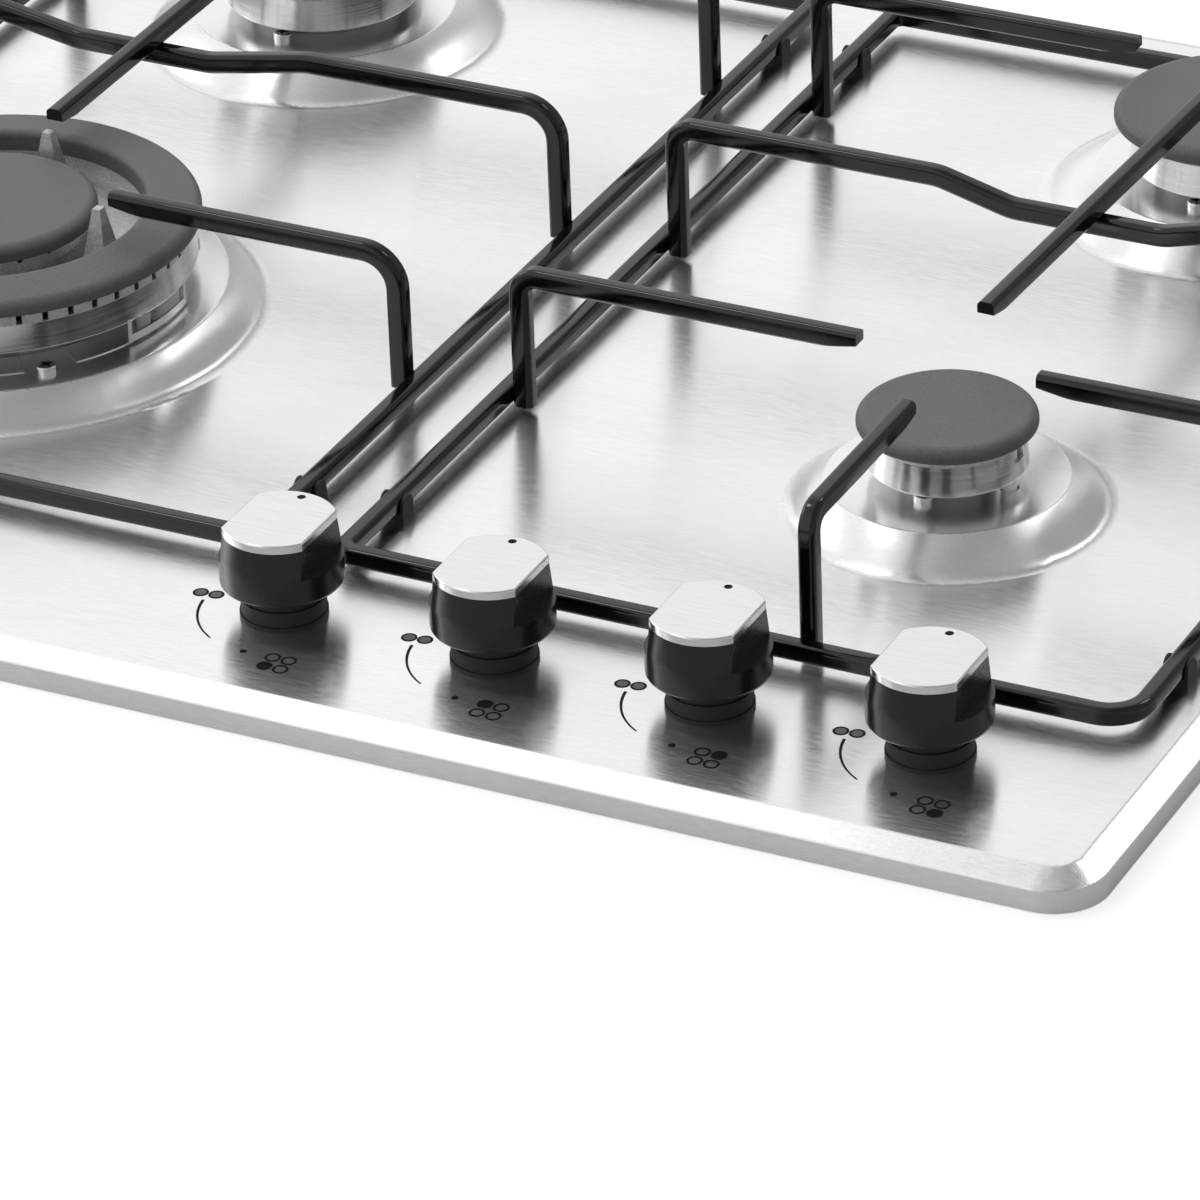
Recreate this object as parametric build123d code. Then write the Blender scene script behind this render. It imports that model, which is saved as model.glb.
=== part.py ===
from build123d import *
import math
import os

# Built-in gas cooktop: a pressed steel panel over a burner box, four burners, four turn-and-push
# knobs at the front and two lift-off pan supports of enamelled square bar.
# Frame: origin at the centre of the worktop cut-out on the worktop plane, +X right, +Y to the rear,
# +Z up. Millimetres.

# Panel: one pressed stainless sheet
panel_width = 580.0
panel_depth = 520.0
panel_sheet = 1.2
panel_corner_r = 17.0
panel_top_z = 11.0
rim_ridge_z = 7.5
rim_bevel_run = 8.3
rim_ridge_round = 0.9
rim_crease_round = 2.5
skirt_clearance = 0.3

# Raised dishes in the panel
plateau_z = 21.0
dish_bulge = 0.9
dish_edge_round = 2.2
dish_foot_round = 7.0
dish_margin = 6.0
aux_dish_r = 48.6
aux_plateau_r = 37.3
semi_dish_r = 60.0
semi_plateau_r = 44.5
wok_dish_r = 85.8
wok_plateau_r = 75.8

# Burner places, from the panel's edges
aux_side_margin = 126.0
semi_right_side_margin = 125.0
semi_left_side_margin = 123.0
wok_side_margin = 121.0
front_burner_margin = 190.0
rear_burner_margin = 106.0

# Burner box under the panel
box_side_inset = 15.0
box_end_inset = 20.0
box_sheet = 1.0
box_corner_r = 8.0
box_bottom_z = -48.0
box_flange_in = 14.0
box_stud_r = 2.0
box_stud_inset = 8.0
box_stud_side_inset = 13.0
box_nut_across = 7.0
box_nut_height = 3.2
step_width = 54.0
step_depth = 66.0
step_height = 16.0

# Rim seal between the panel's skirt and the worktop
seal_width = 7.0
seal_height = 6.0

# Fixing clamps on the box's side walls
clamp_y = 150.0
clamp_width = 16.0
clamp_sheet = 1.6
clamp_height = 26.0
clamp_reach = 14.0
clamp_top_z = -10.0
clamp_screw_r = 2.0
clamp_screw_head_r = 4.0
clamp_screw_head_height = 2.4
clamp_screw_length = 8.0

# Auxiliary burner
aux_neck_r = 14.5
aux_seat_z = 26.0
aux_band_r = 24.8
aux_band_top_r = 23.3
aux_band_top_z = 35.7
aux_ring_r = 23.7
aux_cap_seat_z = 38.6
aux_cap_r = 27.7
aux_cap_top_z = 43.5
aux_flange_r = 33.0
aux_body_r = 22.0
aux_port_count = 22
aux_electrode_r = 20.4
aux_electrode_angle = -2.0
aux_screw_r = 18.0

# Semi-rapid burners
semi_neck_r = 24.6
semi_seat_z = 25.5
semi_band_r = 33.2
semi_band_top_r = 31.7
semi_band_top_z = 36.4
semi_ring_r = 32.1
semi_cap_seat_z = 39.6
semi_cap_r = 38.2
semi_cap_top_z = 44.9
semi_flange_r = 40.0
semi_body_r = 28.0
semi_port_count = 30
semi_electrode_r = 28.6
semi_electrode_angle = 45.0
semi_screw_r = 30.0

# Shared by the round burners
crown_wall = 2.6
crown_floor = 3.0
spigot_depth = 8.0
spigot_wall = 2.4
spigot_clearance = 0.3
neck_wall = 3.0
port_width = 1.4
port_height = 1.6
cap_edge_round = 3.4
cap_underside_round = 0.9
locator_depth = 2.0
locator_wall = 1.5
locator_clearance = 0.5

# Wok burner: outer and inner flame rings in one casting
wok_neck_r = 53.0
wok_seat_z = 29.0
wok_band_r = 66.6
wok_band_top_r = 65.2
wok_band_top_z = 38.0
wok_ring_r = 65.6
wok_cap_seat_z = 42.3
wok_chamber_r = 54.0
wok_gap_r = 51.0
wok_gap_floor_z = 38.0
wok_inner_r = 30.6
wok_inner_top_z = 44.6
wok_bore_r = 8.0
wok_cap_r = 68.6
wok_cap_hole_r = 50.6
wok_cap_inner_z = 49.4
wok_cap_outer_z = 47.2
wok_centre_cap_r = 35.7
wok_centre_cap_top_z = 50.2
wok_flange_r = 71.0
wok_body_r = 56.0
wok_port_count = 49
wok_port_width = 1.9
wok_port_height = 4.0
wok_inner_port_count = 18
wok_inner_port_r = 0.9
wok_inner_port_z = 42.2
wok_fin_r = 41.5
wok_fin_length = 8.0
wok_fin_crest = 2.8
wok_fin_base = 9.8
wok_fin_top = 3.0
wok_fin_top_z = 55.0
wok_guard_count = 2
wok_guard_angle = -6.0
wok_guard_span = 26.0
wok_guard_r = 67.6
wok_guard_bar = 2.6
wok_guard_foot = 1.6
wok_electrode_r = 59.0
wok_electrode_angle = -6.0
wok_screw_r = 66.0
wok_screw_angle = -45.0

# Burner cups
cup_floor_z = -2.0
cup_floor = 12.0
cup_flange = 3.0
cup_boss_r = 5.4
cup_boss_length = 8.0
cup_screw_r = 2.0
cup_screw_clearance = 0.3
cup_screw_head_r = 3.2
cup_screw_head_height = 2.4
cup_screw_length = 8.0

# Electrodes
ceramic_r = 2.5
ceramic_top_gap = 4.2
ceramic_bottom_z = -6.0
ceramic_clearance = 0.6
tip_r = 0.8
tip_height = 1.6
tail_length = 6.0

# Injectors
injector_across = 8.0
injector_height = 5.0
injector_nose_r = 2.4
injector_nose_height = 3.0
injector_bore_r = 0.5

# Knobs
knob_side_margin = 70.8
knob_front_margin = 53.0
knob_pitch = 70.0
knob_r = 18.7
knob_top_r = 17.45
knob_flat = 13.5
knob_bottom_z = 22.0
knob_ledge_z = 30.7
knob_top_z = 40.0
knob_wall = 2.4
knob_roof = 3.0
knob_hub_r = 6.0
knob_bottom_round = 1.6
knob_cap_height = 2.6
knob_cap_round = 0.6
pointer_r = 1.3
pointer_y = 14.2
collar_base_r = 13.3
collar_base_height = 1.5
collar_r = 12.9
collar_bore_r = 10.6
collar_top_z = 24.0
collar_groove_z = 17.4
collar_groove = 0.6
collar_groove_height = 1.2
push_travel = 3.0

# Tap stems and plugs
stem_r = 3.0
stem_running_clearance = 0.05
stem_flat = 0.8
stem_top_z = 36.0
stem_hole_r = 6.0
tang_thickness = 2.6
tang_clearance = 0.1
tang_depth = 4.0
plug_r = 7.0
plug_height = 13.0
plug_clearance = 0.05
plug_end_gap = 0.3

# Taps and gas rail
rail_r = 6.0
rail_wall = 1.2
rail_z = -22.0
rail_end_reach = 21.2
rail_side_inset = 25.0
rail_bend_r = 18.0
tap_width = 22.0
tap_depth = 26.0
tap_top_z = 1.0
bonnet_height = 2.5
bonnet_screw_r = 1.5
bonnet_screw_head_r = 2.6
bonnet_screw_head_height = 1.6
bonnet_screw_length = 8.0
switch_height = 4.5
switch_width = 12.0
switch_depth = 16.0
tap_nozzle_r = 4.0
tap_nozzle_length = 6.0
bracket_width = 14.0
bracket_sheet = 2.0
bracket_foot = 16.0
bracket_saddle = 10.0

# Gas inlet
elbow_width = 26.0
elbow_height = 19.0
elbow_rear_inset = 34.0
thread_r = 10.48
thread_length = 15.0
thread_bore_r = 7.0
thread_clearance = 1.0

# Burner pipes
pipe_r = 2.5
pipe_wall = 0.7
pipe_z = -8.0
pipe_bend_r = 14.0
semi_right_pipe_offset = 52.0
pipe_jog_offset = 26.0
pipe_jog_run = 34.0
wok_pipe_spread = 5.0
wok_boss_spread = 15.0

# Ignition
module_gap = 39.0
module_y = 40.0
module_width = 62.0
module_depth = 40.0
module_height = 25.0
module_round = 2.0
lead_r = 1.4
lead_bend_r = 9.0
lead_turn = 14.0
lead_z = -34.0
terminal_side_inset = 85.0
terminal_width = 50.0
terminal_depth = 24.0
terminal_height = 22.0

# Pan supports: square bar frames with welded legs and fingers. They lie loose on the panel and are
# bent by hand, so the right and left ones stand at slightly different places.
bar_size = 6.0
bar_round = 1.8
bar_z = 16.6
frame_inner_corner_r = 4.2
frame_outer_corner_r = 11.5
right_frame_inner_x = 12.95
right_frame_side_margin = 20.9
right_frame_front_margin = 82.7
right_frame_rear_margin = 33.4
left_frame_inner_x = 15.5
left_frame_side_margin = 18.6
left_frame_front_margin = 80.4
left_frame_rear_margin = 36.3
finger_width = 5.6
finger_height = 6.6
finger_round = 1.7
finger_top_z = 62.0
right_bend_r = 6.4
left_bend_r = 11.5
finger_cut_length = 14.0
finger_cut_depth = 2.6
aux_side_finger_gap = 30.2
aux_front_finger_gap = 31.0
aux_inner_finger_shift = 3.4
aux_front_finger_shift = 1.1
semi_finger_gap = 32.7
semi_rear_finger_gap = 36.0
wok_finger_gap = 46.8

# Bridges: bars between the burners that dip to carry the long finger laid across them
bridge_bend_r = 20.0
right_bridge_y = 44.3
right_dip_shift = -3.0
right_dip_width = 51.0
right_dip_run = 25.0
left_bridge_y = 41.4
left_dip_shift = 3.5
left_dip_width = 49.0
left_dip_run = 36.0
aux_tongue_tip = 35.0
wok_tongue_tip = 44.0
semi_tongue_tip = 26.0
right_tongue_front_shift = -2.7
right_tongue_rear_shift = 2.4
left_tongue_front_shift = -1.1
left_tongue_rear_shift = 0.9

# Feet of the pan supports: rubber clips under the side bars
foot_width = 7.0
foot_wall = 1.0
foot_ear_z = 15.3
foot_front_inset = 35.8
foot_rear_inset = 32.6

# Worked out from the sizes above
right_edge = panel_width / 2
rear_edge = panel_depth / 2
aux_x = right_edge - aux_side_margin
semi_right_x = right_edge - semi_right_side_margin
semi_left_x = semi_left_side_margin - right_edge
wok_x = wok_side_margin - right_edge
front_burner_y = front_burner_margin - rear_edge
rear_burner_y = rear_edge - rear_burner_margin
box_width = panel_width - 2 * box_side_inset
box_depth = panel_depth - 2 * box_end_inset
knob_y = knob_front_margin - rear_edge
knob_last_x = right_edge - knob_side_margin
knob_places = [knob_last_x - knob_pitch * place for place in (3, 2, 1, 0)]
rail_left_x = knob_places[0] - rail_end_reach
rail_side_x = box_width / 2 - rail_side_inset
elbow_y = box_depth / 2 - elbow_rear_inset
bracket_places = [(knob_places[0] + knob_places[1]) / 2, (knob_places[2] + knob_places[3]) / 2]
semi_right_pipe_x = aux_x - semi_right_pipe_offset
wok_outer_pipe_y = front_burner_y + wok_boss_spread
wok_inner_pipe_y = front_burner_y - wok_boss_spread
terminal_x = terminal_side_inset - box_width / 2
module_x = wok_x + wok_electrode_r + module_gap + module_width / 2
sheet_under_z = panel_top_z - panel_sheet
plateau_under_z = plateau_z - panel_sheet
box_floor_z = box_bottom_z + box_sheet
finger_z = finger_top_z - finger_height / 2
finger_bottom_z = finger_top_z - finger_height
leg_offset = bar_size / 2 + finger_height / 2
tap_bottom_z = rail_z + rail_r - 2.0
tap_height = tap_top_z - tap_bottom_z
bonnet_top_z = tap_top_z + bonnet_height
plug_bottom_z = tap_top_z - plug_end_gap - plug_height


def turned(points, rounds=()):
    """Solid of revolution about Z from (radius, height) corners, some of them rounded."""
    face = make_face(Polyline(*points, close=True))
    for index, radius in rounds:
        corner = face.vertices().sort_by_distance(Vector(*points[index], 0))[0]
        face = fillet(corner, radius)
    return revolve(Plane.XZ * face, axis=Axis.Z)


def disc(radius, low_z, high_z, bore=0.0):
    """Upright cylinder or tube between two heights."""
    solid = Pos(0, 0, low_z) * Cylinder(radius, high_z - low_z, align=(Align.CENTER, Align.CENTER, Align.MIN))
    if bore > 0:
        solid -= Pos(0, 0, low_z) * Cylinder(bore, high_z - low_z, align=(Align.CENTER, Align.CENTER, Align.MIN))
    return solid


def block(width, depth, low_z, high_z):
    """Upright block centred on the Z axis."""
    return Pos(0, 0, low_z) * Box(width, depth, high_z - low_z, align=(Align.CENTER, Align.CENTER, Align.MIN))


def hexagon(across, low_z, high_z):
    """Upright hexagonal prism, by its width across flats."""
    return extrude(Plane.XY.offset(low_z) * RegularPolygon(across / math.sqrt(3), 6), high_z - low_z)


def polar(radius, angle):
    """Offset from a burner's axis at an angle in degrees."""
    return Pos(radius * math.cos(math.radians(angle)), radius * math.sin(math.radians(angle)), 0)


def bar(points, bends, section, across):
    """Bar swept along straight runs and bends; across is the section's own X direction."""
    route = FilletPolyline(*points, radius=bends) if len(points) > 2 else Line(*points)
    plane = Plane(origin=points[0], x_dir=across, z_dir=Vector(*points[1]) - Vector(*points[0]))
    return sweep(plane * section, path=route)


def tube(points, bends, radius, wall):
    """Bent tube along a route, open at both ends."""
    across = (0, 0, 1) if points[0][2] == points[1][2] else (1, 0, 0)
    outer = bar(points, bends, Circle(radius), across)
    if wall <= 0:
        return outer
    return outer - bar(points, bends, Circle(radius - wall), across)


def tray_outline(width, depth, radius, low_z, high_z):
    """Rounded rectangular block about the Z axis."""
    return extrude(Plane.XY.offset(low_z) * RectangleRounded(width, depth, radius), high_z - low_z)


# Panel
def rim_block(inset, low_z):
    """The panel's outer shape, or with an inset of one sheet the hollow under it."""
    bevel_rise = panel_top_z - rim_ridge_z
    slope = math.hypot(rim_bevel_run, bevel_rise)
    ridge_z = rim_ridge_z - inset * (slope - bevel_rise) / rim_bevel_run
    top_z = panel_top_z - inset
    shrink = inset + (top_z - ridge_z) * rim_bevel_run / bevel_rise
    ridge = RectangleRounded(panel_width - 2 * inset, panel_depth - 2 * inset, panel_corner_r - inset)
    crease = RectangleRounded(panel_width - 2 * shrink, panel_depth - 2 * shrink, panel_corner_r - shrink)
    solid = extrude(Plane.XY.offset(low_z) * ridge, ridge_z - low_z)
    solid += loft([Plane.XY.offset(ridge_z) * ridge, Plane.XY.offset(top_z) * crease], ruled=True)
    ridge_edges = solid.edges().filter_by_position(Axis.Z, ridge_z - 0.01, ridge_z + 0.01)
    solid = fillet(ridge_edges, rim_ridge_round if inset == 0 else rim_ridge_round / 2)
    crease_edges = solid.edges().filter_by_position(Axis.Z, top_z - 0.01, top_z + 0.01)
    return fillet(crease_edges, rim_crease_round + inset)


def dish(foot_r, plateau_r):
    """One raised dish of sheet, with a rounded plateau edge and foot, and a flat margin around it."""
    run = foot_r - plateau_r
    rise = plateau_z - panel_top_z
    band = math.hypot(run, rise)
    under = panel_sheet * (band - run) / rise
    middle_r = (foot_r + plateau_r) / 2 + dish_bulge * rise / band
    middle_z = (plateau_z + panel_top_z) / 2 + dish_bulge * run / band
    margin_r = foot_r + dish_margin
    outline = Polyline((0, plateau_under_z), (0, plateau_z), (plateau_r, plateau_z))
    outline += ThreePointArc((plateau_r, plateau_z), (middle_r, middle_z), (foot_r, panel_top_z))
    outline += Polyline((foot_r, panel_top_z), (margin_r, panel_top_z), (margin_r, sheet_under_z),
                        (foot_r - under, sheet_under_z))
    outline += ThreePointArc((foot_r - under, sheet_under_z), (middle_r - under, middle_z - panel_sheet),
                             (plateau_r - under, plateau_under_z))
    outline += Line((plateau_r - under, plateau_under_z), (0, plateau_under_z))
    face = make_face(outline)
    corners = (
        (plateau_r, plateau_z, dish_edge_round),
        (foot_r, panel_top_z, dish_foot_round),
        (plateau_r - under, plateau_under_z, dish_edge_round - panel_sheet),
        (foot_r - under, sheet_under_z, dish_foot_round + panel_sheet),
    )
    for radius, height, rounding in corners:
        corner = face.vertices().sort_by_distance(Vector(radius, height, 0))[0]
        face = fillet(corner, rounding)
    return revolve(Plane.XZ * face, axis=Axis.Z)


class Burner:
    """One burner's place and the sizes that the panel, the cup and the electrode share."""

    def __init__(self, x, y, dish_r, plateau_r, neck_r, flange_r, body_r, seat_z, electrode, screws):
        self.place = Pos(x, y, 0)
        self.x = x
        self.y = y
        self.dish_r = dish_r
        self.plateau_r = plateau_r
        self.neck_r = neck_r
        self.flange_r = flange_r
        self.body_r = body_r
        self.seat_z = seat_z
        self.electrode = electrode
        self.screws = screws


aux_sizes = (aux_dish_r, aux_plateau_r, aux_neck_r, aux_flange_r, aux_body_r, aux_seat_z)
semi_sizes = (semi_dish_r, semi_plateau_r, semi_neck_r, semi_flange_r, semi_body_r, semi_seat_z)
wok_sizes = (wok_dish_r, wok_plateau_r, wok_neck_r, wok_flange_r, wok_body_r, wok_seat_z)
aux_screws = [polar(aux_screw_r, angle) for angle in (-90, 90)]
semi_screws = [polar(semi_screw_r, angle) for angle in (-90, 90)]
wok_screws = [polar(wok_screw_r, wok_screw_angle + angle) for angle in (0, 90, 180, 270)]
aux_spark = (aux_electrode_r, aux_electrode_angle)
semi_spark = (semi_electrode_r, semi_electrode_angle)
wok_spark = (wok_electrode_r, wok_electrode_angle)
aux = Burner(aux_x, front_burner_y, *aux_sizes, aux_spark, aux_screws)
semi_right = Burner(semi_right_x, rear_burner_y, *semi_sizes, semi_spark, semi_screws)
semi_left = Burner(semi_left_x, rear_burner_y, *semi_sizes, semi_spark, semi_screws)
wok = Burner(wok_x, front_burner_y, *wok_sizes, wok_spark, wok_screws)
burners = (aux, semi_right, semi_left, wok)

top_panel = rim_block(0, skirt_clearance) - rim_block(panel_sheet, skirt_clearance - 1)
for burner in burners:
    margin = disc(burner.dish_r + dish_margin, sheet_under_z - 1, panel_top_z + 1)
    top_panel -= burner.place * margin
for burner in burners:
    top_panel += burner.place * dish(burner.dish_r, burner.plateau_r)
for burner in burners:
    neck_hole = disc(burner.neck_r + spigot_clearance, plateau_under_z - 1, plateau_z + 1)
    spark_hole = disc(ceramic_r + ceramic_clearance, plateau_under_z - 1, plateau_z + 1)
    screw_hole = disc(cup_screw_r + cup_screw_clearance, plateau_under_z - 1, plateau_z + 1)
    top_panel -= burner.place * neck_hole
    top_panel -= burner.place * polar(*burner.electrode) * spark_hole
    top_panel -= [burner.place * screw * screw_hole for screw in burner.screws]
top_panel -= [Pos(x, knob_y, 0) * disc(stem_hole_r, sheet_under_z - 1, panel_top_z + 1) for x in knob_places]

# Burner box, its studs and nuts
wall_top_z = sheet_under_z
step_x = box_width / 2 - step_width / 2
step_y = box_depth / 2 - step_depth / 2
stud_rows = [sign * (box_depth / 2 - box_stud_inset) for sign in (-1, 1)]
stud_reach = box_width / 2 - box_stud_side_inset
stud_columns = [stud_reach * place for place in (-1, -0.4, 0.4, 1)]
stud_places = [Pos(x, y, 0) for x in stud_columns for y in stud_rows]


def burner_box_tray():
    """Folded tray with an inward top flange and a raised floor over the gas inlet."""
    inner_width = box_width - 2 * box_sheet
    inner_depth = box_depth - 2 * box_sheet
    inner_r = box_corner_r - box_sheet
    mouth = tray_outline(box_width - 2 * box_flange_in, box_depth - 2 * box_flange_in, inner_r,
                         wall_top_z - box_sheet - 1, wall_top_z + 1)
    step_outer = Pos(step_x, step_y, 0) * block(step_width, step_depth, box_bottom_z, box_floor_z + step_height)
    step_pocket = Pos(step_x + box_sheet, step_y + box_sheet, 0) * block(
        step_width, step_depth, box_bottom_z - 1, box_bottom_z + step_height)
    tray = tray_outline(box_width, box_depth, box_corner_r, box_bottom_z, wall_top_z)
    tray -= tray_outline(inner_width, inner_depth, inner_r, box_floor_z, wall_top_z - box_sheet)
    tray -= mouth
    tray += step_outer & tray_outline(box_width, box_depth, box_corner_r, box_bottom_z, wall_top_z)
    tray -= step_pocket
    tray -= [place * disc(box_stud_r + 0.25, wall_top_z - box_sheet - 1, wall_top_z + 1) for place in stud_places]
    tray -= Pos(rail_side_x, elbow_y, 0) * disc(
        thread_r + thread_clearance, box_bottom_z - 1, box_floor_z + step_height + 1)
    for side in (-1, 1):
        for y in (-clamp_y, clamp_y):
            hole = Rot(0, 90, 0) * Cylinder(clamp_screw_r, 4 * box_sheet)
            tray -= Pos(side * box_width / 2, y, clamp_top_z - clamp_height / 3) * hole
    return tray


burner_box = burner_box_tray()
nut_top_z = wall_top_z - box_sheet
stud_and_nut = disc(box_stud_r, nut_top_z - box_nut_height - 1.5, wall_top_z)
stud_and_nut += hexagon(box_nut_across, nut_top_z - box_nut_height, nut_top_z)
box_nuts = [place * stud_and_nut for place in stud_places]

# Rim seal, stuck inside the skirt
seal_outer_width = panel_width - 2 * panel_sheet
seal_outer_depth = panel_depth - 2 * panel_sheet
rim_seal = tray_outline(seal_outer_width, seal_outer_depth, panel_corner_r - panel_sheet, 0, seal_height)
rim_seal -= tray_outline(seal_outer_width - 2 * seal_width, seal_outer_depth - 2 * seal_width,
                         panel_corner_r - panel_sheet - seal_width, -1, seal_height + 1)

# Fixing clamps: an angle on each side wall whose lower arm grips under the worktop
clamp = block(clamp_sheet, clamp_width, clamp_top_z - clamp_height, clamp_top_z)
clamp += Pos(clamp_reach / 2 - clamp_sheet / 2, 0, 0) * block(
    clamp_reach, clamp_width, clamp_top_z - clamp_height, clamp_top_z - clamp_height + clamp_sheet)
clamp = Pos(clamp_sheet / 2, 0, 0) * clamp
clamp_screw_z = clamp_top_z - clamp_height / 3
clamp -= Pos(0, 0, clamp_screw_z) * Rot(0, 90, 0) * Cylinder(clamp_screw_r, 6 * clamp_sheet)
clamp_screw = Cylinder(clamp_screw_head_r, clamp_screw_head_height, align=(Align.CENTER, Align.CENTER, Align.MIN))
clamp_screw += Cylinder(clamp_screw_r, clamp_screw_length, align=(Align.CENTER, Align.CENTER, Align.MAX))
clamp_screw = Pos(clamp_sheet, 0, clamp_screw_z) * Rot(0, 90, 0) * clamp_screw
clamp_places = [Pos(box_width / 2, y, 0) for y in (-clamp_y, clamp_y)]
clamp_places += [Pos(-box_width / 2, y, 0) * Rot(0, 0, 180) for y in (-clamp_y, clamp_y)]
fixing_clamps = [place * clamp for place in clamp_places]
clamp_screws = [place * clamp_screw for place in clamp_places]


# Burner cups, under the plateaus, with a neck through each
def burner_cup(burner, boss_angles):
    """Cast cup: neck, flange under the plateau, mixing bowl and gas bosses at its side."""
    bowl_r = burner.neck_r - neck_wall
    bottom_z = cup_floor_z - cup_floor
    flange_z = plateau_under_z - cup_flange
    cup = turned([
        (0, bottom_z), (burner.body_r, bottom_z), (burner.body_r, flange_z), (burner.flange_r, flange_z),
        (burner.flange_r, plateau_under_z), (burner.neck_r, plateau_under_z), (burner.neck_r, burner.seat_z),
        (bowl_r, burner.seat_z), (bowl_r, cup_floor_z), (0, cup_floor_z),
    ])
    for angle in boss_angles:
        boss = Cylinder(cup_boss_r, cup_boss_length + 2, align=(Align.CENTER, Align.CENTER, Align.MAX))
        cup += Rot(0, 0, angle) * Pos(burner.body_r + cup_boss_length, 0, pipe_z) * Rot(0, 90, 0) * boss
    cup -= polar(*burner.electrode) * disc(ceramic_r, bottom_z - 1, burner.seat_z + 1)
    cup -= [screw * disc(cup_screw_r, plateau_z - cup_screw_length - 1, plateau_z) for screw in burner.screws]
    return cup


aux_cup = aux.place * burner_cup(aux, [0])
semi_cup_right = semi_right.place * burner_cup(semi_right, [180])
semi_cup_left = semi_left.place * burner_cup(semi_left, [0])


def wok_cup_casting():
    """The wok burner's wide cup, with two straight gas bosses on its right side."""
    cup = burner_cup(wok, [])
    for y in (wok_outer_pipe_y, wok_inner_pipe_y):
        boss = Cylinder(cup_boss_r, cup_boss_length + 6, align=(Align.CENTER, Align.CENTER, Align.MAX))
        cup += Pos(wok_body_r + cup_boss_length, y - front_burner_y, pipe_z) * Rot(0, 90, 0) * boss
    return cup


wok_cup = wok.place * wok_cup_casting()

cup_screw = disc(cup_screw_head_r, plateau_z, plateau_z + cup_screw_head_height)
cup_screw = fillet(cup_screw.edges().sort_by(Axis.Z)[-1], 0.9)
cup_screw += disc(cup_screw_r, plateau_z - cup_screw_length, plateau_z)
cross_cut_z = plateau_z + cup_screw_head_height
cup_screw -= block(cup_screw_head_r, 0.9, cross_cut_z - 1, cross_cut_z + 1)
cup_screw -= block(0.9, cup_screw_head_r, cross_cut_z - 1, cross_cut_z + 1)
cup_screws = [burner.place * screw * cup_screw for burner in burners for screw in burner.screws]

# Electrodes: a ceramic rod beside each crown with a wire tip, and a tail for its lead
ceramic_tops = {aux: aux_cap_seat_z, semi_right: semi_cap_seat_z, semi_left: semi_cap_seat_z, wok: wok_seat_z}
electrode_ceramics = []
electrode_tips = []
for burner, seat_z in ceramic_tops.items():
    top_z = seat_z - ceramic_top_gap
    spark = burner.place * polar(*burner.electrode)
    electrode_ceramics.append(spark * disc(ceramic_r, ceramic_bottom_z, top_z, tip_r))
    electrode_tips.append(spark * disc(tip_r, ceramic_bottom_z - tail_length, top_z + tip_height))

# Injectors: brass nozzles standing on the cup floors
injector = hexagon(injector_across, cup_floor_z, cup_floor_z + injector_height)
injector += disc(injector_nose_r, cup_floor_z + injector_height,
                 cup_floor_z + injector_height + injector_nose_height)
injector -= disc(injector_bore_r, cup_floor_z - 1, cup_floor_z + injector_height + injector_nose_height + 1)
wok_outer_injector = wok.place * Pos(0, wok_outer_pipe_y - front_burner_y + wok_bore_r * 2, 0)
injectors = [burner.place * injector for burner in burners] + [wok_outer_injector * injector]


# Crowns and caps of the round burners
def round_crown(burner, band_r, band_top_r, band_top_z, ring_r, cap_seat_z, port_count):
    """Flame spreader: polished band, slotted ring, mixing chamber and a spigot into the cup."""
    seat_z = burner.seat_z
    spigot_r = burner.neck_r - neck_wall - spigot_clearance
    bore_r = spigot_r - spigot_wall
    chamber_r = ring_r - crown_wall
    crown = turned([
        (bore_r, seat_z - spigot_depth), (spigot_r, seat_z - spigot_depth), (spigot_r, seat_z),
        (band_r, seat_z), (band_top_r, band_top_z), (ring_r, band_top_z), (ring_r, cap_seat_z),
        (chamber_r, cap_seat_z), (chamber_r, seat_z + crown_floor), (bore_r, seat_z + crown_floor),
    ], rounds=[(3, 0.5)])
    port = Pos(ring_r - crown_wall / 2, 0, 0) * block(
        3 * crown_wall, port_width, cap_seat_z - port_height, cap_seat_z + 1)
    crown -= PolarLocations(0, port_count) * port
    hole_r = ceramic_r + ceramic_clearance
    angle = burner.electrode[1]
    crown -= polar(*burner.electrode) * disc(hole_r, seat_z - 1, cap_seat_z + 1)
    window_low_z = seat_z + (cap_seat_z - seat_z) * 0.4
    window = Pos(burner.electrode[0] + band_r / 2, 0, 0) * block(band_r, 2 * hole_r, window_low_z, cap_seat_z + 1)
    crown -= Rot(0, 0, angle) * window
    return crown


def round_cap(cap_r, seat_z, top_z, ring_r):
    """Enamelled cap: rounded disc with a locating ring inside the crown's chamber."""
    locator_r = ring_r - crown_wall - locator_clearance
    return turned([
        (0, top_z), (cap_r, top_z), (cap_r, seat_z), (locator_r, seat_z), (locator_r, seat_z - locator_depth),
        (locator_r - locator_wall, seat_z - locator_depth), (locator_r - locator_wall, seat_z + 1), (0, seat_z + 1),
    ], rounds=[(1, cap_edge_round), (2, cap_underside_round)])


aux_crown = aux.place * round_crown(
    aux, aux_band_r, aux_band_top_r, aux_band_top_z, aux_ring_r, aux_cap_seat_z, aux_port_count)
aux_cap = aux.place * round_cap(aux_cap_r, aux_cap_seat_z, aux_cap_top_z, aux_ring_r)
semi_crown = round_crown(
    semi_right, semi_band_r, semi_band_top_r, semi_band_top_z, semi_ring_r, semi_cap_seat_z, semi_port_count)
semi_cap = round_cap(semi_cap_r, semi_cap_seat_z, semi_cap_top_z, semi_ring_r)


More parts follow.
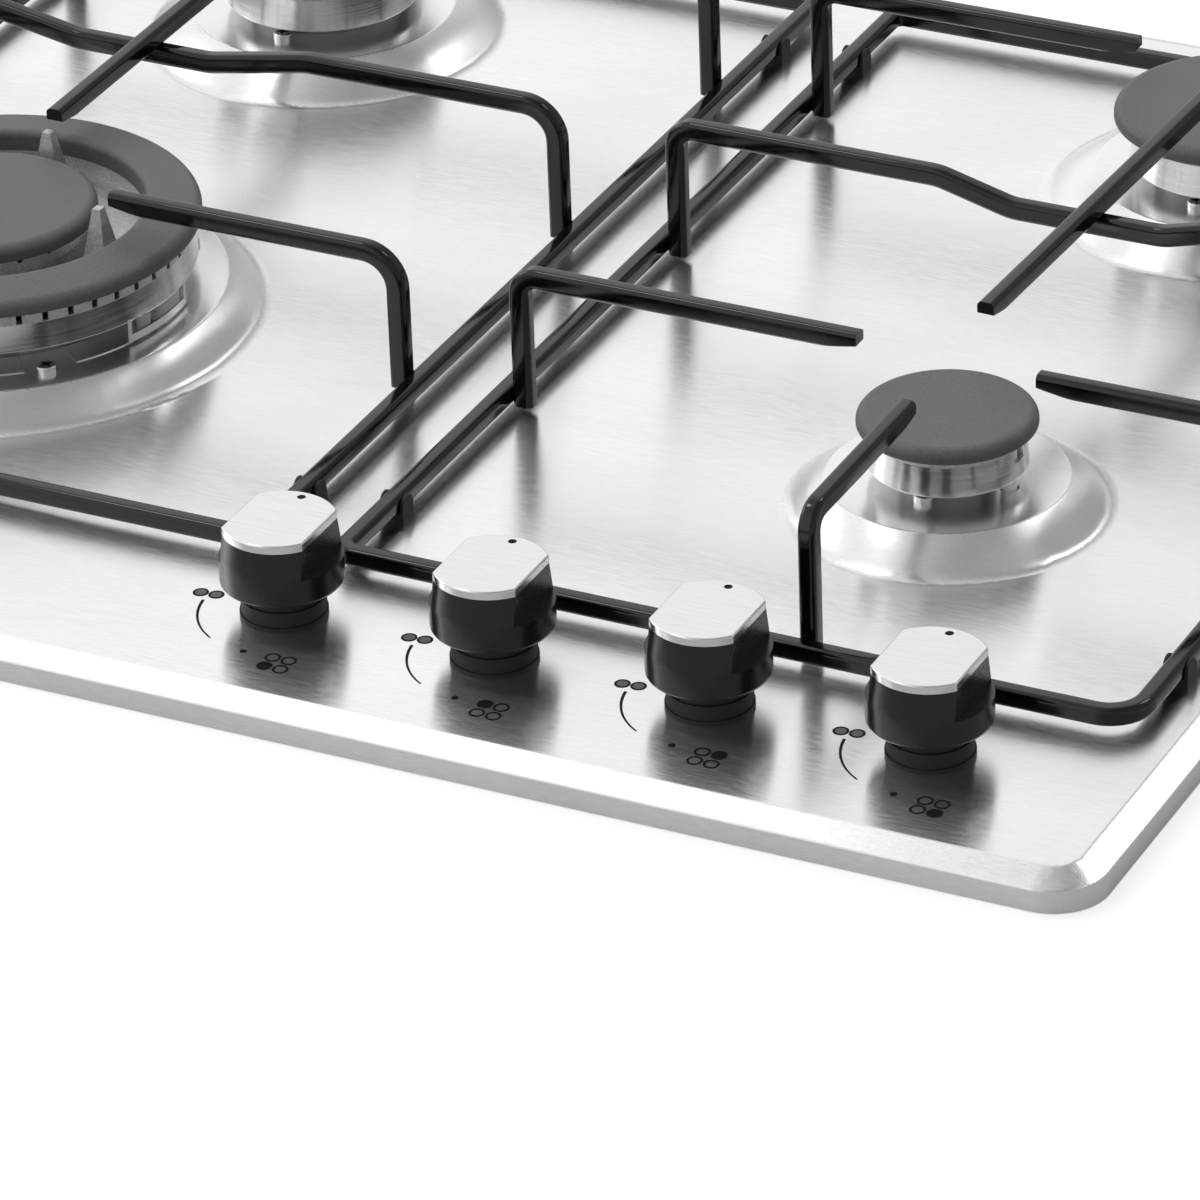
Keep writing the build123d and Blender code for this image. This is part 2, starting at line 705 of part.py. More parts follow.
# Wok burner's crown and caps
def wok_crown_casting():
    """Casting with an outer and an inner flame ring, a sunk floor between them and four upright fins."""
    spigot_r = wok_neck_r - neck_wall - spigot_clearance
    tube_r = wok_bore_r + spigot_wall
    low_z = wok_seat_z - spigot_depth
    floor_z = wok_seat_z + crown_floor
    crown = turned([
        (wok_bore_r, low_z), (tube_r, low_z), (tube_r, wok_seat_z), (spigot_r - spigot_wall, wok_seat_z),
        (spigot_r - spigot_wall, low_z), (spigot_r, low_z), (spigot_r, wok_seat_z), (wok_band_r, wok_seat_z),
        (wok_band_top_r, wok_band_top_z), (wok_ring_r, wok_band_top_z), (wok_ring_r, wok_cap_seat_z),
        (wok_ring_r - crown_wall, wok_cap_seat_z), (wok_ring_r - crown_wall, floor_z),
        (wok_chamber_r, floor_z), (wok_chamber_r, wok_cap_seat_z), (wok_gap_r, wok_cap_seat_z),
        (wok_gap_r, wok_gap_floor_z), (wok_inner_r, wok_gap_floor_z), (wok_inner_r, wok_inner_top_z),
        (wok_inner_r - crown_wall, wok_inner_top_z), (wok_inner_r - crown_wall, floor_z), (wok_bore_r, floor_z),
    ], rounds=[(7, 0.5)])
    port = Pos(wok_ring_r - crown_wall / 2, 0, 0) * block(
        2 * crown_wall, wok_port_width, wok_cap_seat_z - wok_port_height, wok_cap_seat_z + 1)
    crown -= PolarLocations(0, wok_port_count) * port
    inner_port = Pos(wok_inner_r - crown_wall / 2, 0, wok_inner_port_z) * Rot(0, 90, 0) * Cylinder(
        wok_inner_port_r, 2 * crown_wall)
    crown -= PolarLocations(0, wok_inner_port_count) * inner_port
    fin = loft([
        Pos(wok_fin_r, 0, wok_gap_floor_z) * Rectangle(wok_fin_length, wok_fin_base),
        Pos(wok_fin_r, 0, wok_fin_top_z) * Rectangle(wok_fin_crest, wok_fin_top),
    ])
    crown += PolarLocations(0, 4) * fin
    foot = Pos(wok_guard_r - wok_guard_bar / 2, 0, 0) * block(
        wok_guard_bar, wok_guard_foot, plateau_z + 1, wok_seat_z + 1)
    guard_ring = disc(wok_guard_r, plateau_z + 1, plateau_z + 1 + wok_guard_bar, wok_guard_r - wok_guard_foot)
    sector = make_face(Polyline((0, 0), *[
        (2 * wok_band_r * math.cos(math.radians(angle)), 2 * wok_band_r * math.sin(math.radians(angle)))
        for angle in (-wok_guard_span / 2, wok_guard_span / 2)], close=True))
    guard = guard_ring & extrude(sector, 2 * plateau_z)
    guard += [Rot(0, 0, side * wok_guard_span / 2) * foot for side in (-1, 1)]
    guard &= disc(wok_band_r, plateau_z, wok_cap_seat_z)
    guards = [Rot(0, 0, wok_guard_angle + 360 / wok_guard_count * place) * guard
              for place in range(wok_guard_count)]
    return crown + guards


def wok_ring_cap_shape():
    """Ring cap that slopes outward, with its locating ring in the outer chamber."""
    locator_r = wok_ring_r - crown_wall - locator_clearance
    locator_low_z = wok_cap_seat_z - locator_depth
    return turned([
        (wok_cap_hole_r, wok_cap_seat_z), (wok_cap_hole_r, wok_cap_inner_z), (wok_cap_r, wok_cap_outer_z),
        (wok_cap_r, wok_cap_seat_z), (locator_r, wok_cap_seat_z), (locator_r, locator_low_z),
        (locator_r - locator_wall, locator_low_z), (locator_r - locator_wall, wok_cap_seat_z),
    ], rounds=[(1, 2.4), (2, cap_edge_round), (3, cap_underside_round)])


wok_crown = wok.place * wok_crown_casting()
wok_ring_cap = wok.place * wok_ring_cap_shape()
wok_centre_cap = wok.place * round_cap(wok_centre_cap_r, wok_inner_top_z, wok_centre_cap_top_z, wok_inner_r)

# Taps on the gas rail
tap_body = block(tap_width, tap_depth, tap_bottom_z, tap_top_z)
tap_body -= disc(plug_r + plug_clearance, plug_bottom_z - plug_end_gap, tap_top_z + 1)
tap_body -= Pos(0, 0, rail_z) * Rot(0, 90, 0) * Cylinder(rail_r, 2 * tap_width)
bonnet_hole_r = stem_r + stem_running_clearance
bonnet_screw_spots = [Pos(x, y, 0) for x in (-tap_width / 2 + 3, tap_width / 2 - 3)
                      for y in (-tap_depth / 2 + 3, tap_depth / 2 - 3)]
tap_body -= [spot * disc(bonnet_screw_r, bonnet_top_z - bonnet_screw_length, tap_top_z + 1)
             for spot in bonnet_screw_spots]
nozzle = Cylinder(tap_nozzle_r, tap_nozzle_length, align=(Align.CENTER, Align.CENTER, Align.MIN))
nozzle = Pos(0, tap_depth / 2, pipe_z) * Rot(-90, 0, 0) * nozzle
wok_nozzles = [Pos(side * wok_pipe_spread, 0, 0) * nozzle for side in (-1, 1)]
tap_bonnet = block(tap_width, tap_depth, tap_top_z, bonnet_top_z) - disc(bonnet_hole_r, tap_top_z - 1, bonnet_top_z + 1)
tap_bonnet -= [spot * disc(bonnet_screw_r, tap_top_z - 1, bonnet_top_z + 1) for spot in bonnet_screw_spots]
bonnet_screw = disc(bonnet_screw_r, bonnet_top_z - bonnet_screw_length, bonnet_top_z)
bonnet_screw += disc(bonnet_screw_head_r, bonnet_top_z, bonnet_top_z + bonnet_screw_head_height)
tap_switch = block(switch_width, switch_depth, bonnet_top_z, bonnet_top_z + switch_height)
tap_switch -= disc(stem_r + 0.8, bonnet_top_z - 1, bonnet_top_z + switch_height + 1)
knob_axes = [Pos(x, knob_y, 0) for x in knob_places]
tap_bodies = [knob_axes[0] * (tap_body + wok_nozzles)] + [axis * (tap_body + nozzle) for axis in knob_axes[1:]]
tap_bonnets = [axis * tap_bonnet for axis in knob_axes]
bonnet_screws = [axis * spot * bonnet_screw for axis in knob_axes for spot in bonnet_screw_spots]
tap_switches = [axis * tap_switch for axis in knob_axes]

rail_end_y = elbow_y - elbow_width / 2
rail_route = [(rail_left_x, knob_y, rail_z), (rail_side_x, knob_y, rail_z), (rail_side_x, rail_end_y, rail_z)]
gas_rail = tube(rail_route, [rail_bend_r], rail_r, rail_wall)
rail_plug = Pos(rail_left_x, knob_y, rail_z) * Rot(0, 90, 0) * Cylinder(
    rail_r, 3, align=(Align.CENTER, Align.CENTER, Align.MIN))
gas_rail += rail_plug

bracket_top_z = rail_z - rail_r
bracket = block(bracket_width, bracket_sheet, box_floor_z, bracket_top_z)
bracket += Pos(0, -bracket_foot / 2, 0) * block(
    bracket_width, bracket_foot, box_floor_z, box_floor_z + bracket_sheet)
bracket += Pos(0, (bracket_saddle - bracket_sheet) / 2, 0) * block(
    bracket_width, bracket_saddle, bracket_top_z - bracket_sheet, bracket_top_z)
rail_brackets = [Pos(x, knob_y, 0) * bracket for x in bracket_places]

# Gas inlet elbow on the raised floor, with its threaded end pointing down
elbow_low_z = box_floor_z + step_height
inlet_elbow = block(elbow_width, elbow_width, elbow_low_z, elbow_low_z + elbow_height)
inlet_elbow = fillet(inlet_elbow.edges().filter_by(Axis.Z), 4)
inlet_elbow += disc(thread_r, elbow_low_z - box_sheet - thread_length, elbow_low_z)
inlet_elbow -= disc(thread_bore_r, elbow_low_z - box_sheet - thread_length - 1, rail_z + rail_r)
inlet_elbow -= Pos(0, 0, rail_z) * Rot(90, 0, 0) * Cylinder(
    rail_r - rail_wall, elbow_width, align=(Align.CENTER, Align.CENTER, Align.MIN))
inlet_elbow = Pos(rail_side_x, elbow_y, 0) * inlet_elbow

# Burner pipes, from each tap's nozzle to its cup's boss
pipe_start_y = knob_y + tap_depth / 2 + tap_nozzle_length
wok_boss_x = wok_x + wok_body_r + cup_boss_length
semi_right_boss_x = semi_right_x - semi_body_r - cup_boss_length
semi_left_boss_x = semi_left_x + semi_body_r + cup_boss_length
aux_boss_x = aux_x + aux_body_r + cup_boss_length
wok_left_x = knob_places[0] - wok_pipe_spread
wok_right_x = knob_places[0] + wok_pipe_spread
jog_front_y = (pipe_start_y + front_burner_y) / 2 - pipe_jog_offset
jog_rear_y = jog_front_y + pipe_jog_run
pipe_routes = {
    "pipe_wok_outer": [(wok_right_x, pipe_start_y), (wok_right_x, wok_outer_pipe_y), (wok_boss_x, wok_outer_pipe_y)],
    "pipe_wok_inner": [(wok_left_x, pipe_start_y), (wok_left_x, wok_inner_pipe_y), (wok_boss_x, wok_inner_pipe_y)],
    "pipe_semi_left": [(knob_places[1], pipe_start_y), (knob_places[1], rear_burner_y),
                       (semi_left_boss_x, rear_burner_y)],
    "pipe_semi_right": [(knob_places[2], pipe_start_y), (knob_places[2], jog_front_y),
                        (semi_right_pipe_x, jog_rear_y), (semi_right_pipe_x, rear_burner_y),
                        (semi_right_boss_x, rear_burner_y)],
    "pipe_aux": [(knob_places[3], pipe_start_y), (knob_places[3], front_burner_y), (aux_boss_x, front_burner_y)],
}
pipe_bends = {"pipe_semi_right": [pipe_bend_r, pipe_bend_r, 0.7 * pipe_bend_r]}
pipes = {}
for name, route in pipe_routes.items():
    points = [(x, y, pipe_z) for x, y in route]
    bends = pipe_bends.get(name, [pipe_bend_r] * (len(points) - 2))
    pipes[name] = tube(points, bends, pipe_r, pipe_wall)

# Ignition module and its leads, terminal block
module_top_z = box_floor_z + module_height
ignition_module = Pos(module_x, module_y, 0) * block(module_width, module_depth, box_floor_z, module_top_z)
ignition_module = fillet(ignition_module.edges().filter_by(Axis.Z), module_round)
module_sides = {
    aux: (module_x + module_width / 2, module_y - module_depth / 4, 1),
    semi_right: (module_x + module_width / 2, module_y + module_depth / 4, 1),
    semi_left: (module_x - module_width / 2, module_y + module_depth / 4, -1),
    wok: (module_x - module_width / 2, module_y - module_depth / 4, -1),
}
ignition_leads = []
for burner, (socket_x, socket_y, side) in module_sides.items():
    tail_x = burner.x + burner.electrode[0] * math.cos(math.radians(burner.electrode[1]))
    tail_y = burner.y + burner.electrode[0] * math.sin(math.radians(burner.electrode[1]))
    turn_x = socket_x + side * lead_turn
    tail_z = ceramic_bottom_z - tail_length
    lead_points = [(socket_x, socket_y, lead_z), (turn_x, socket_y, lead_z), (turn_x, tail_y, lead_z),
                   (tail_x, tail_y, lead_z), (tail_x, tail_y, tail_z)]
    ignition_leads.append(tube(lead_points, [lead_bend_r] * 3, lead_r, 0))
terminal_y = box_depth / 2 - box_sheet - terminal_depth / 2
terminal_block = Pos(terminal_x, terminal_y, 0) * block(
    terminal_width, terminal_depth, box_floor_z, box_floor_z + terminal_height)
terminal_block = fillet(terminal_block.edges().filter_by(Axis.Z), 1.5)

# Rubber collars on the panel, round each stem
knob_collar = turned([
    (collar_bore_r, panel_top_z), (collar_base_r, panel_top_z), (collar_base_r, panel_top_z + collar_base_height),
    (collar_r, panel_top_z + collar_base_height), (collar_r, collar_groove_z),
    (collar_r - collar_groove, collar_groove_z), (collar_r - collar_groove, collar_groove_z + collar_groove_height),
    (collar_r, collar_groove_z + collar_groove_height), (collar_r, collar_top_z), (collar_bore_r, collar_top_z),
])
knob_collars = [axis * knob_collar for axis in knob_axes]

# Tap plug and stem: the stem's tang slides in the plug's slot when the knob is pushed
plug_top_z = plug_bottom_z + plug_height
tang_low_z = plug_top_z - tang_depth
tap_plug = disc(plug_r, plug_bottom_z, plug_top_z)
tap_plug -= block(2 * stem_r + 1, tang_thickness + 2 * tang_clearance,
                  tang_low_z - push_travel - 1, plug_top_z + 1)
tap_plug -= disc(stem_r + 0.5, plug_top_z - push_travel - 0.5, plug_top_z + 1)
tap_plug -= Pos(0, 0, plug_bottom_z + 3) * Rot(90, 0, 0) * Cylinder(1.5, 3 * plug_r)
stem_shoulder_z = plug_top_z
stem = disc(stem_r, stem_shoulder_z, stem_top_z)
stem += block(2 * stem_r - 0.4, tang_thickness, tang_low_z, stem_shoulder_z) & disc(
    stem_r, tang_low_z, stem_shoulder_z)
stem -= Pos(0, -2 * stem_r + stem_flat, 0) * block(4 * stem_r, 2 * stem_r, knob_ledge_z, stem_top_z + 1)


# Knob: plastic body with two side flats above a ledge, and a brushed metal cap
def knob_shape():
    """Hollow plastic body with a hub that takes the stem's flat end."""
    outline = turned([
        (0, knob_bottom_z), (knob_r, knob_bottom_z), (knob_r, knob_ledge_z), (knob_top_r, knob_top_z), (0, knob_top_z),
    ], rounds=[(1, knob_bottom_round)])
    for side in (-1, 1):
        outline -= Pos(side * (knob_flat + knob_r / 2), 0, 0) * block(
            knob_r, 3 * knob_r, knob_ledge_z, knob_top_z + 1)
    hollow_r = knob_r - knob_wall
    hollow = disc(hollow_r, knob_bottom_z - 1, knob_ledge_z - knob_wall)
    upper = disc(knob_top_r - knob_wall, knob_ledge_z - knob_wall - 1, knob_top_z - knob_roof)
    upper &= block(2 * (knob_flat - knob_wall), 3 * knob_r, knob_bottom_z, knob_top_z)
    hub = disc(knob_hub_r, knob_bottom_z + push_travel, knob_top_z - knob_roof)
    return outline - (hollow + upper - hub) - stem


def knob_cap_shape():
    """Metal cap the shape of the knob's top, with a hole for the pointer."""
    cap = disc(knob_top_r, knob_top_z, knob_top_z + knob_cap_height)
    cap &= block(2 * knob_flat, 3 * knob_r, knob_top_z, knob_top_z + knob_cap_height)
    cap = fillet(cap.faces().sort_by(Axis.Z)[-1].edges(), knob_cap_round)
    return cap - Pos(0, pointer_y, 0) * disc(pointer_r, knob_top_z - 1, knob_top_z + knob_cap_height + 1)


knob = knob_shape()
knob_cap = knob_cap_shape()


# Pan supports, both drawn on the right-hand side; the left one is then mirrored
frame_section = RectangleRounded(bar_size, bar_size, bar_round)
finger_section = RectangleRounded(finger_height, finger_width, finger_round)
leg_foot_z = bar_z - bar_size / 2


class Support:
    """One pan support: where its frame's bars run, its burners and how its fingers are bent."""

    def __init__(self, inner_x, side_margin, front_margin, rear_margin, bend_r, front, rear):
        self.inner_x = inner_x
        self.outer_x = right_edge - side_margin
        self.front_y = front_margin - rear_edge
        self.rear_y = rear_edge - rear_margin
        self.bend_r = bend_r
        self.front = front
        self.rear = rear
        self.left_leg_x = self.inner_x + leg_offset
        self.right_leg_x = self.outer_x - leg_offset

    def frame(self):
        """Closed frame of square bar, tightly bent at its two inner corners."""
        corners = [(x, y, bar_z) for x, y in (
            (self.outer_x, self.front_y), (self.outer_x, self.rear_y),
            (self.inner_x, self.rear_y), (self.inner_x, self.front_y))]
        radii = [frame_outer_corner_r, frame_outer_corner_r, frame_inner_corner_r, frame_inner_corner_r]
        route = FilletPolyline(*corners, radius=radii, close=True)
        plane = Plane(origin=route @ 0, x_dir=(0, 0, 1), z_dir=route % 0)
        return sweep(plane * frame_section, path=route)

    def finger(self, foot, tip):
        """Bar that stands against the frame at its foot, bends over and ends in a tapered tip."""
        direction = (Vector(*tip, 0) - Vector(*foot, 0)).normalized()
        points = [(*foot, leg_foot_z), (*foot, finger_z), (*tip, finger_z)]
        solid = bar(points, [self.bend_r], finger_section, tuple(direction))
        return solid - tip_cut(tip, tuple(direction))

    def tongue(self, front_tip, rear_tip):
        """Level bar laid across the bridge, with a tapered tip towards each burner."""
        direction = (Vector(*rear_tip, 0) - Vector(*front_tip, 0)).normalized()
        solid = bar([(*front_tip, finger_z), (*rear_tip, finger_z)], [], finger_section, (0, 0, 1))
        solid -= tip_cut(rear_tip, tuple(direction))
        return solid - tip_cut(front_tip, tuple(-direction))

    def bridge(self, y, dip_shift, dip_width, dip_run):
        """Bar across the frame that dips by a finger's height under the tongue."""
        dip_start = self.front[0] + dip_shift - dip_width / 2
        dip_end = self.front[0] + dip_shift + dip_width / 2
        low_z = finger_z - finger_height
        points = [
            (self.left_leg_x, y, leg_foot_z), (self.left_leg_x, y, finger_z),
            (dip_start - dip_run, y, finger_z), (dip_start, y, low_z), (dip_end, y, low_z),
            (dip_end + dip_run, y, finger_z), (self.right_leg_x, y, finger_z), (self.right_leg_x, y, leg_foot_z),
        ]
        bends = [self.bend_r] + [bridge_bend_r] * 4 + [self.bend_r]
        return bar(points, bends, finger_section, (1, 0, 0))

    def feet(self):
        """Rubber clips under the side bars, with rounded ears up both faces of the bar."""
        clip_width = bar_size + 2 * foot_wall
        clip = block(clip_width, foot_width, panel_top_z, foot_ear_z)
        clip += Pos(0, 0, foot_ear_z) * Rot(0, 90, 0) * Cylinder(foot_width / 2, clip_width)
        clip -= block(bar_size, 2 * foot_width, leg_foot_z, foot_ear_z + foot_width)
        places = [(x, y) for x in (self.inner_x, self.outer_x)
                  for y in (self.front_y + foot_front_inset, self.rear_y - foot_rear_inset)]
        return [Pos(x, y, 0) * clip for x, y in places]


def tip_cut(tip, direction):
    """Wedge taken from under a finger's tip; direction points along the finger to its tip."""
    wedge = make_face(Polyline((0.5, 0), (0.5, finger_cut_depth), (0, finger_cut_depth),
                               (-finger_cut_length, -0.05), (-finger_cut_length, -1), (0.5, -1), close=True))
    plane = Plane(origin=(tip[0], tip[1], finger_bottom_z), x_dir=direction,
                  z_dir=Vector(*direction).cross(Vector(0, 0, 1)))
    return extrude(plane * wedge, finger_width, both=True)


right = Support(right_frame_inner_x, right_frame_side_margin, right_frame_front_margin, right_frame_rear_margin,
                right_bend_r, (aux_x, front_burner_y), (semi_right_x, rear_burner_y))
left = Support(left_frame_inner_x, left_frame_side_margin, left_frame_front_margin, left_frame_rear_margin,
               left_bend_r, (-wok_x, front_burner_y), (-semi_left_x, rear_burner_y))


def rear_fingers(support):
    """The three fingers round the rear burner; the tongue is its fourth."""
    x, y = support.rear
    return [
        support.finger((support.left_leg_x, y), (x - semi_finger_gap, y)),
        support.finger((support.right_leg_x, y), (x + semi_finger_gap, y)),
        support.finger((x, support.rear_y - leg_offset), (x, y + semi_rear_finger_gap)),
    ]


def mirrored(solids):
    """The same solids on the other side of the panel's middle plane."""
    return [mirror(solid, about=Plane.YZ) for solid in solids]


support_right_frame = right.frame()
support_right_bars = [
    right.finger((right.left_leg_x, front_burner_y + aux_inner_finger_shift),
                 (aux_x - aux_side_finger_gap, front_burner_y + aux_inner_finger_shift)),
    right.finger((right.right_leg_x, front_burner_y), (aux_x + aux_side_finger_gap, front_burner_y)),
    right.finger((aux_x + aux_front_finger_shift, right.front_y + leg_offset),
                 (aux_x + aux_front_finger_shift, front_burner_y - aux_front_finger_gap)),
    *rear_fingers(right),
    right.bridge(right_bridge_y, right_dip_shift, right_dip_width, right_dip_run),
    right.tongue((aux_x + right_tongue_front_shift, front_burner_y + aux_tongue_tip),
                 (semi_right_x + right_tongue_rear_shift, rear_burner_y - semi_tongue_tip)),
]
support_right_feet = right.feet()
support_left_frame = mirror(left.frame(), about=Plane.YZ)
support_left_bars = mirrored([
    left.finger((left.left_leg_x, front_burner_y), (-wok_x - wok_finger_gap, front_burner_y)),
    left.finger((left.right_leg_x, front_burner_y), (-wok_x + wok_finger_gap, front_burner_y)),
    left.finger((-wok_x, left.front_y + leg_offset), (-wok_x, front_burner_y - wok_finger_gap)),
    *rear_fingers(left),
    left.bridge(left_bridge_y, left_dip_shift, left_dip_width, left_dip_run),
    left.tongue((-wok_x + left_tongue_front_shift, front_burner_y + wok_tongue_tip),
                (-semi_left_x + left_tongue_rear_shift, rear_burner_y - semi_tongue_tip)),
])
support_left_feet = mirrored(left.feet())

# Every piece, by its name
nodes = {
    "top_panel": top_panel,
    "burner_box": burner_box,
    "inner_fasteners": box_nuts + bonnet_screws,
    "rim_seal": rim_seal,
    "fixing_clamps": fixing_clamps,
    "clamp_screws": clamp_screws,
    "aux_cup": aux_cup,
    "semi_cup_right": semi_cup_right,
    "semi_cup_left": semi_cup_left,
    "wok_cup": wok_cup,
    "cup_screws": cup_screws,
    "electrode_ceramics": electrode_ceramics,
    "electrode_tips": electrode_tips,
    "injectors": injectors,
    "tap_bodies": tap_bodies,
    "tap_bonnets": tap_bonnets,
    "tap_switches": tap_switches,
    "gas_rail": gas_rail,
    "rail_brackets": rail_brackets,
    "inlet_elbow": inlet_elbow,
    "ignition_module": ignition_module,
    "ignition_leads": ignition_leads,
    "terminal_block": terminal_block,
    "knob_collars": knob_collars,
    "aux_crown": aux_crown,
    "aux_cap": aux_cap,
    "semi_crown_right": semi_right.place * semi_crown,
    "semi_cap_right": semi_right.place * semi_cap,
    "semi_crown_left": semi_left.place * semi_crown,
    "semi_cap_left": semi_left.place * semi_cap,
    "wok_crown": wok_crown,
    "wok_ring_cap": wok_ring_cap,
    "wok_centre_cap": wok_centre_cap,
    "support_right_frame": support_right_frame,
    "support_right_bars": support_right_bars,
    "support_right_feet": support_right_feet,
    "support_left_frame": support_left_frame,
    "support_left_bars": support_left_bars,
    "support_left_feet": support_left_feet,
}
nodes.update(pipes)
for number, axis in enumerate(knob_axes, start=1):
    nodes[f"tap_plug_{number}"] = axis * tap_plug
    nodes[f"tap_stem_{number}"] = axis * stem
    nodes[f"knob_{number}"] = axis * knob
    nodes[f"knob_cap_{number}"] = axis * knob_cap

os.makedirs("parts", exist_ok=True)
for name, shape in nodes.items():
    solids = shape if isinstance(shape, list) else [shape]
    export_step(Compound(children=[solid for item in solids for solid in item.solids()]), f"parts/{name}.step")
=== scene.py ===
import math

import bpy
import numpy as np
from mathutils import Matrix


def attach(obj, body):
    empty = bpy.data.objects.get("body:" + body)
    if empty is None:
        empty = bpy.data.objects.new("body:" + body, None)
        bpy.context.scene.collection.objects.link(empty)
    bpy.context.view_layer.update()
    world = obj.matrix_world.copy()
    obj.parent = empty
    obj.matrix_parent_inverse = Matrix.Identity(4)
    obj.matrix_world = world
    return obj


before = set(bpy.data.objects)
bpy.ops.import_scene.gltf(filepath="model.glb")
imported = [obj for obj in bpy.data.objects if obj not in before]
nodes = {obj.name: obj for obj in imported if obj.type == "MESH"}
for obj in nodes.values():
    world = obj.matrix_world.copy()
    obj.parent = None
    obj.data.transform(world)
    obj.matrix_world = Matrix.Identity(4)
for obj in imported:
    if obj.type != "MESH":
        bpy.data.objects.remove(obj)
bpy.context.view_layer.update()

scene = bpy.context.scene


# ---- Studio: the hob let into a white worktop, in a room that is lighter to the left ----
# The worktop is a white board with the hob's cut-out in it. It glows to the camera, so that the background
# of the picture is white, and faintly where it is mirrored. The room's darker side gives the steel its
# shape, and three small lamps put highlights on the enamel and the plastic.
def linear(hex_colour):
    """Linear RGBA of an sRGB hex colour."""
    channels = [int(hex_colour[i:i + 2], 16) / 255 for i in (1, 3, 5)]
    return tuple(c / 12.92 if c <= 0.04045 else ((c + 0.055) / 1.055) ** 2.4 for c in channels) + (1.0,)


def add(tree, kind, settings=None, **inputs):
    """Adds a node with its settings. Each input is a value or the socket that feeds it.

    i0, i1 and so on mean inputs by number, and an underscore stands for a space in an input's name.
    """
    node = tree.nodes.new(kind)
    for name, value in (settings or {}).items():
        setattr(node, name, value)
    for name, value in inputs.items():
        key = int(name[1:]) if name[0] == "i" and name[1:].isdigit() else name.replace("_", " ")
        socket = node.inputs[key]
        if isinstance(value, bpy.types.NodeSocket):
            tree.links.new(value, socket)
        else:
            socket.default_value = value
    return node


def new_material(name):
    """An empty node material, its node tree and its output node."""
    material = bpy.data.materials.new(name)
    material.use_nodes = True
    material.node_tree.nodes.clear()
    return material, material.node_tree, material.node_tree.nodes.new("ShaderNodeOutputMaterial")


def new_piece(name, vertices, faces, material=None, smooth=True):
    """A mesh object at the origin from numpy vertices in metres and quad or triangle faces."""
    mesh = bpy.data.meshes.new(name)
    mesh.from_pydata(np.asarray(vertices, float).reshape(-1, 3).tolist(), [], np.asarray(faces).tolist())
    mesh.update()
    if smooth:
        mesh.polygons.foreach_set("use_smooth", np.ones(len(mesh.polygons), bool))
    piece = bpy.data.objects.new(name, mesh)
    scene.collection.objects.link(piece)
    if material is not None:
        mesh.materials.append(material)
    return piece


# The camera's place, turn and focal length were fitted to points read off the photograph.
camera_data = bpy.data.cameras.new("camera")
camera_data.sensor_width = 36.0
camera_data.lens = 242.236
camera_data.clip_start = 0.1
camera_data.clip_end = 50.0
camera = bpy.data.objects.new("camera", camera_data)
camera.matrix_world = Matrix((
    (0.897666, -0.190720, 0.397269, 1.04542),
    (0.439451, 0.454629, -0.774723, -2.02224),
    (-0.032855, 0.870022, 0.491916, 1.19060),
    (0, 0, 0, 1),
))
scene.collection.objects.link(camera)
scene.camera = camera
scene.view_settings.view_transform = "Standard"

worktop_reach = 6.0
cutout_width = 0.560
cutout_depth = 0.490
corner_signs = np.array([(-1, -1), (1, -1), (1, 1), (-1, 1)])
board = np.zeros((8, 3))
board[:4, :2] = corner_signs * (cutout_width / 2, cutout_depth / 2)
board[4:, :2] = corner_signs * worktop_reach
board_faces = [(i, 4 + i, 4 + (i + 1) % 4, (i + 1) % 4) for i in range(4)]
worktop = new_piece("worktop", board, board_faces, smooth=False)
white_board, tree, output = new_material("white_board")
seen_glow = 0.62
mirrored_glow = 0.04
rays = add(tree, "ShaderNodeLightPath").outputs
mirrored = add(tree, "ShaderNodeMath", {"operation": "MAXIMUM"},
               i0=rays["Is Glossy Ray"], i1=rays["Is Transmission Ray"])
mirrored_share = add(tree, "ShaderNodeMath", {"operation": "MULTIPLY"},
                     i0=mirrored.outputs[0], i1=mirrored_glow)
glow_strength = add(tree, "ShaderNodeMath", {"operation": "MULTIPLY_ADD"},
                    i0=rays["Is Camera Ray"], i1=seen_glow, i2=mirrored_share.outputs[0])
board_paint = add(tree, "ShaderNodeBsdfDiffuse", Color=linear("#c9c9c9"))
board_glow = add(tree, "ShaderNodeEmission", Color=(1, 1, 1, 1), Strength=glow_strength.outputs[0])
board_surface = add(tree, "ShaderNodeAddShader", i0=board_paint.outputs[0], i1=board_glow.outputs[0])
tree.links.new(board_surface.outputs[0], output.inputs["Surface"])
worktop.data.materials.append(white_board)

world = bpy.data.worlds.new("room")
scene.world = world
world.use_nodes = True
tree = world.node_tree
tree.nodes.clear()
direction = add(tree, "ShaderNodeTexCoord").outputs["Generated"]
way = add(tree, "ShaderNodeSeparateXYZ", Vector=direction)
left_strength = 1.06
right_strength = 0.42
side_change = (-0.45, 0.25)     # sines of the angles between which the room goes from light to dark
zenith_share = 0.7
side_strength = add(tree, "ShaderNodeMapRange", {"interpolation_type": "SMOOTHSTEP"}, Value=way.outputs["X"],
                    From_Min=side_change[0], From_Max=side_change[1],
                    To_Min=left_strength, To_Max=right_strength)
ceiling_strength = add(tree, "ShaderNodeMapRange", {"interpolation_type": "SMOOTHSTEP"},
                       Value=way.outputs["Z"], From_Min=0.6, From_Max=1.0, To_Min=1.0, To_Max=zenith_share)
room_strength = add(tree, "ShaderNodeMath", {"operation": "MULTIPLY"},
                    i0=side_strength.outputs[0], i1=ceiling_strength.outputs[0])
room = add(tree, "ShaderNodeBackground", Color=(1, 1, 1, 1), Strength=room_strength.outputs[0])
tree.links.new(room.outputs[0], add(tree, "ShaderNodeOutputWorld").inputs["Surface"])


